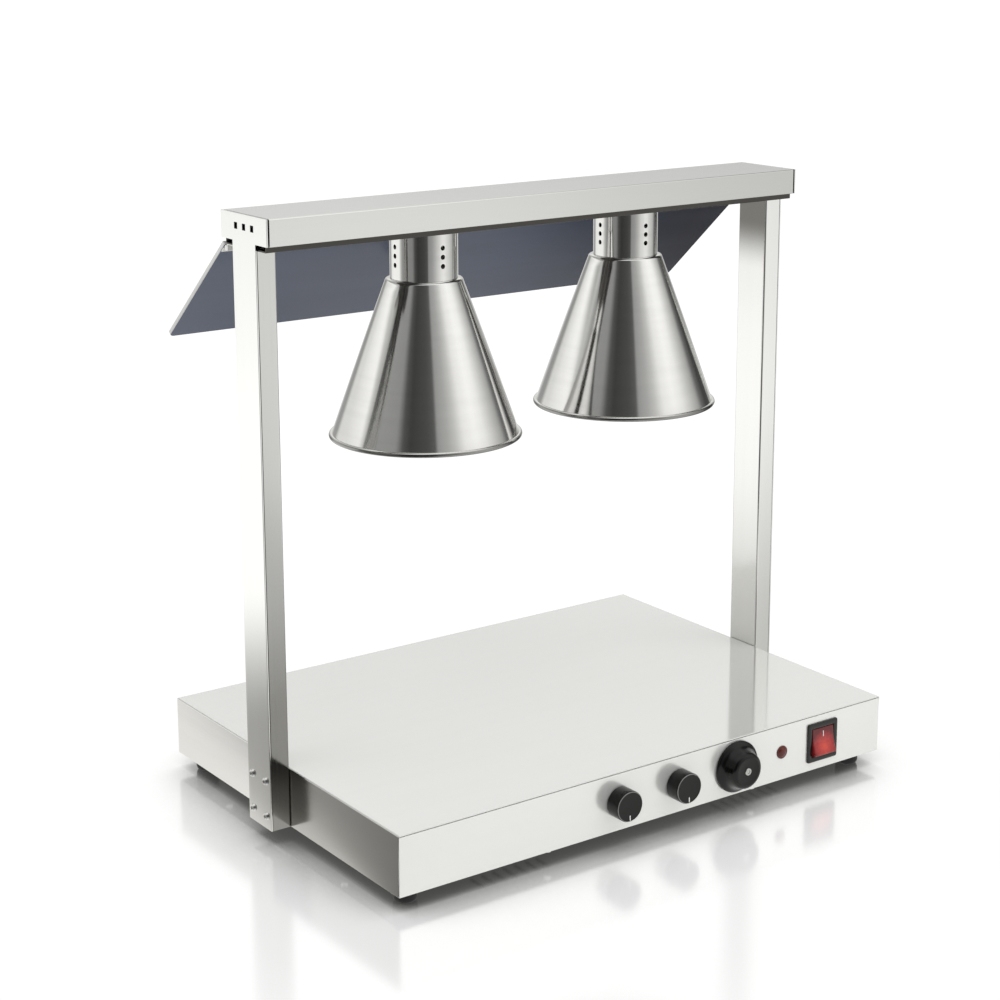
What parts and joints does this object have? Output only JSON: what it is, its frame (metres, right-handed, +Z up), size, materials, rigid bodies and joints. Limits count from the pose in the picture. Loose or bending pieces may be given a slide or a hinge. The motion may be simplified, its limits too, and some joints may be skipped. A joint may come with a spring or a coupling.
{
  "type": "heat lamp warmer",
  "caption": "Table-top food warmer: a heated steel base with knobs and a rocker, posts at the sides, an overhead beam with cone-shaded lamps and a tilting smoked rear guard.",
  "frame": {"origin": "centre of the overall footprint, on the plane the rubber feet stand on", "axes": "+Z up, +X along the beam to the right when facing the controls, the control panel faces -Y"},
  "size_m": [0.6048, 0.436, 0.571],
  "materials": {
    "brushed_sheet": "polished, lightly brushed",
    "spun_steel": "spun and polished",
    "dark_pan": "satin, shaded",
    "inner_sheet": "plain mill",
    "screw_steel": "plated",
    "spreader_alu": "mill",
    "blanket_fibre": "ceramic fibre",
    "white_ceramic": "matt",
    "black_plastic": "moulded, slight sheen",
    "knob_black": "satin black",
    "rubber_black": "matt",
    "bright_insert": "turned",
    "white_mark": "white inlay",
    "pilot_red": "translucent red",
    "rocker_red": "translucent red",
    "brass_contact": "plain",
    "bulb_glass": "hard glass reflector lamp",
    "cap_alu": "rolled thread",
    "smoked_panel": "smoked, blue grey",
    "wire_sleeve": "glass-braid sleeve"
  },
  "bodies": {
    "frame": {"base_top_cover": "brushed_sheet", "control_panel": "brushed_sheet", "bottom_pan": "inner_sheet", "rubber_feet": "rubber_black", "underside_screws": "screw_steel", "heat_spreader": "spreader_alu", "heating_element": "inner_sheet", "element_terminals": "white_ceramic", "element_straps": "inner_sheet", "insulation_blanket": "blanket_fibre", "insulation_tray": "inner_sheet", "thermostat_body": "black_plastic", "thermostat_screws": "screw_steel", "thermostat_capillary": "brass_contact", "panel_nuts": "screw_steel", "indicator_lens": "pilot_red", "indicator_body": "black_plastic", "switch_housing": "black_plastic", "switch_terminals": "brass_contact", "terminal_block": "white_ceramic", "earth_stud": "brass_contact", "cable_gland": "black_plastic", "gland_locknut": "black_plastic", "post_left": "brushed_sheet", "post_right": "brushed_sheet", "post_screws": "screw_steel", "post_nuts": "screw_steel", "wire_grommets": "rubber_black", "beam_cover": "brushed_sheet", "beam_pan": "dark_pan", "beam_screws": "screw_steel", "lamp_neck_left": "spun_steel", "lamp_neck_right": "spun_steel", "shade_left": "spun_steel", "shade_right": "spun_steel", "bulb_left": "bulb_glass", "bulb_right": "bulb_glass", "shade_rings": "screw_steel", "lamp_sockets": "white_ceramic", "socket_brackets": "inner_sheet", "bulb_caps": "cap_alu", "guard_hinge_fixed": "screw_steel", "guard_hinge_pins": "screw_steel", "hinge_screws": "screw_steel", "lamp_wiring": "wire_sleeve", "base_wiring": "wire_sleeve", "left_dimmer_body": "black_plastic", "right_dimmer_body": "black_plastic"},
    "left_dimmer": {"left_dimmer_shaft": "brass_contact", "left_dimmer_knob": "knob_black", "left_dimmer_pointer": "white_mark"},
    "right_dimmer": {"right_dimmer_shaft": "brass_contact", "right_dimmer_knob": "knob_black", "right_dimmer_pointer": "white_mark"},
    "thermostat": {"thermostat_shaft": "brass_contact", "thermostat_knob": "knob_black", "thermostat_knob_insert": "bright_insert"},
    "rocker": {"switch_rocker": "rocker_red"},
    "guard": {"guard_panel": "smoked_panel", "guard_hinge_moving": "screw_steel"}
  },
  "joints": [
    {"name": "left_dimmer_turn", "type": "hinge", "parent": "frame", "child": "left_dimmer", "pos_m": [-0.045, -0.216, 0.043], "axis": [0, 1, 0], "range_deg": [0, 300]},
    {"name": "right_dimmer_turn", "type": "hinge", "parent": "frame", "child": "right_dimmer", "pos_m": [0.024, -0.216, 0.043], "axis": [0, 1, 0], "range_deg": [0, 300]},
    {"name": "thermostat_turn", "type": "hinge", "parent": "frame", "child": "thermostat", "pos_m": [0.094, -0.218, 0.043], "axis": [0, 1, 0], "range_deg": [0, 300]},
    {"name": "rocker_tip", "type": "hinge", "parent": "frame", "child": "rocker", "pos_m": [0.2035, -0.2002, 0.043], "axis": [1, 0, 0], "range_deg": [0, 24]},
    {"name": "guard_tilt", "type": "hinge", "parent": "frame", "child": "guard", "pos_m": [0, 0.0375, 0.53725], "axis": [1, 0, 0], "range_deg": [-25, 41]}
  ]
}
